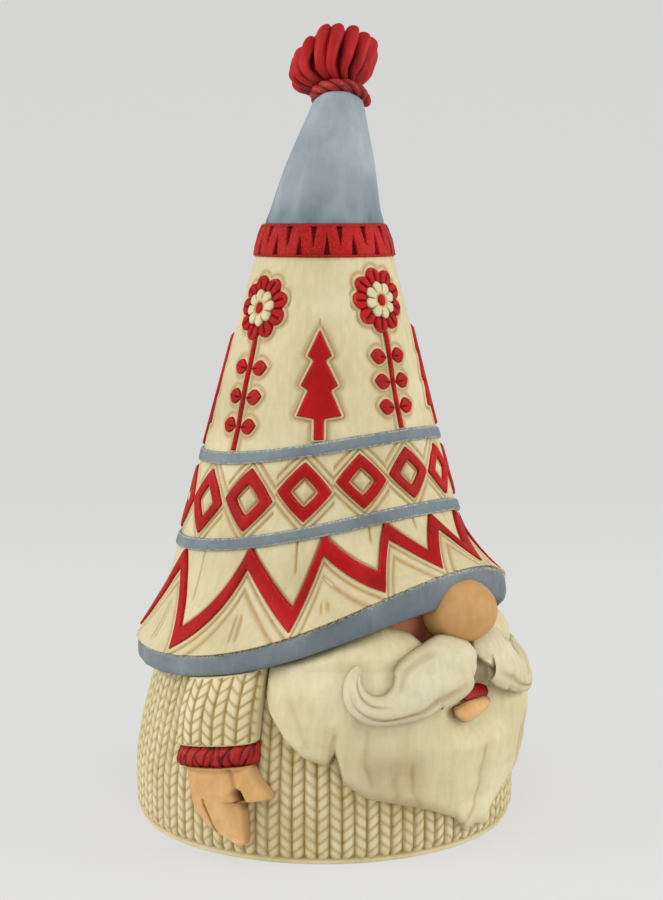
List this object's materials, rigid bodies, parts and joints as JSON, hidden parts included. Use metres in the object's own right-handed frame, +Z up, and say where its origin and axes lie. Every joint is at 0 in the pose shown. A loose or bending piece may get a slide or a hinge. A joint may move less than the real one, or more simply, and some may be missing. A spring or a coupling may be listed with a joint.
{
  "type": "tomte gnome figurine",
  "caption": "Standing gnome figurine with a knitted coat, full beard, curled moustache and a tall pointed hat painted with flowers, trees, diamonds and zigzags.",
  "frame": {"origin": "centre of the resting face under the foot, on the axis of the coat", "axes": "+Z up along the hat, the face looks along -Y, the figure's right hand is at -X"},
  "size_m": [0.143, 0.136, 0.2609],
  "materials": {
    "felt": "matte felt sheet",
    "raw_cast": "unpainted cast stone resin, matte",
    "knit_paint": "pale yellow-green paint with an olive wash in the knit grooves, satin",
    "skin_paint": "peach paint with a soft satin sheen",
    "cheek_paint": "rose-brown shaded skin paint, satin",
    "beard_paint": "cream paint with a yellow-brown wash in the folds, satin",
    "mouth_paint": "dark red paint, satin",
    "cuff_paint": "deep red paint with a darker wash in the ribs, satin",
    "hat_cream": "cream paint with a golden-brown wash in the carved lines, satin",
    "pattern_red": "bright red paint on raised relief, satin",
    "band_blue": "slate-blue paint, satin",
    "tip_blue": "lighter slate-blue paint with brushed facets, satin",
    "cord_red": "dark red paint with a brown wash, satin"
  },
  "bodies": {
    "root": {"felt_pad": "felt", "foot_plug": "raw_cast", "coat": "knit_paint", "face": "cheek_paint", "nose": "skin_paint", "beard": "beard_paint", "moustache_right": "beard_paint", "moustache_left": "beard_paint", "mouth": "mouth_paint", "lower_lip": "skin_paint", "sleeve_right": "knit_paint", "cuff_right": "cuff_paint", "hand_right": "skin_paint", "sleeve_left": "knit_paint", "cuff_left": "cuff_paint", "hand_left": "skin_paint", "hat_cone": "hat_cream", "hat_brim_edge": "band_blue", "hat_band_lower": "band_blue", "hat_band_upper": "band_blue", "hat_zigzag": "pattern_red", "hat_diamonds": "pattern_red", "hat_trees": "pattern_red", "flower_stems": "pattern_red", "flower_petals": "pattern_red", "flower_hearts": "hat_cream", "flower_eyes": "pattern_red", "hat_collar": "pattern_red", "hat_tip": "tip_blue", "pompom_cord": "cord_red", "pompom": "cord_red"}
  },
  "joints": []
}
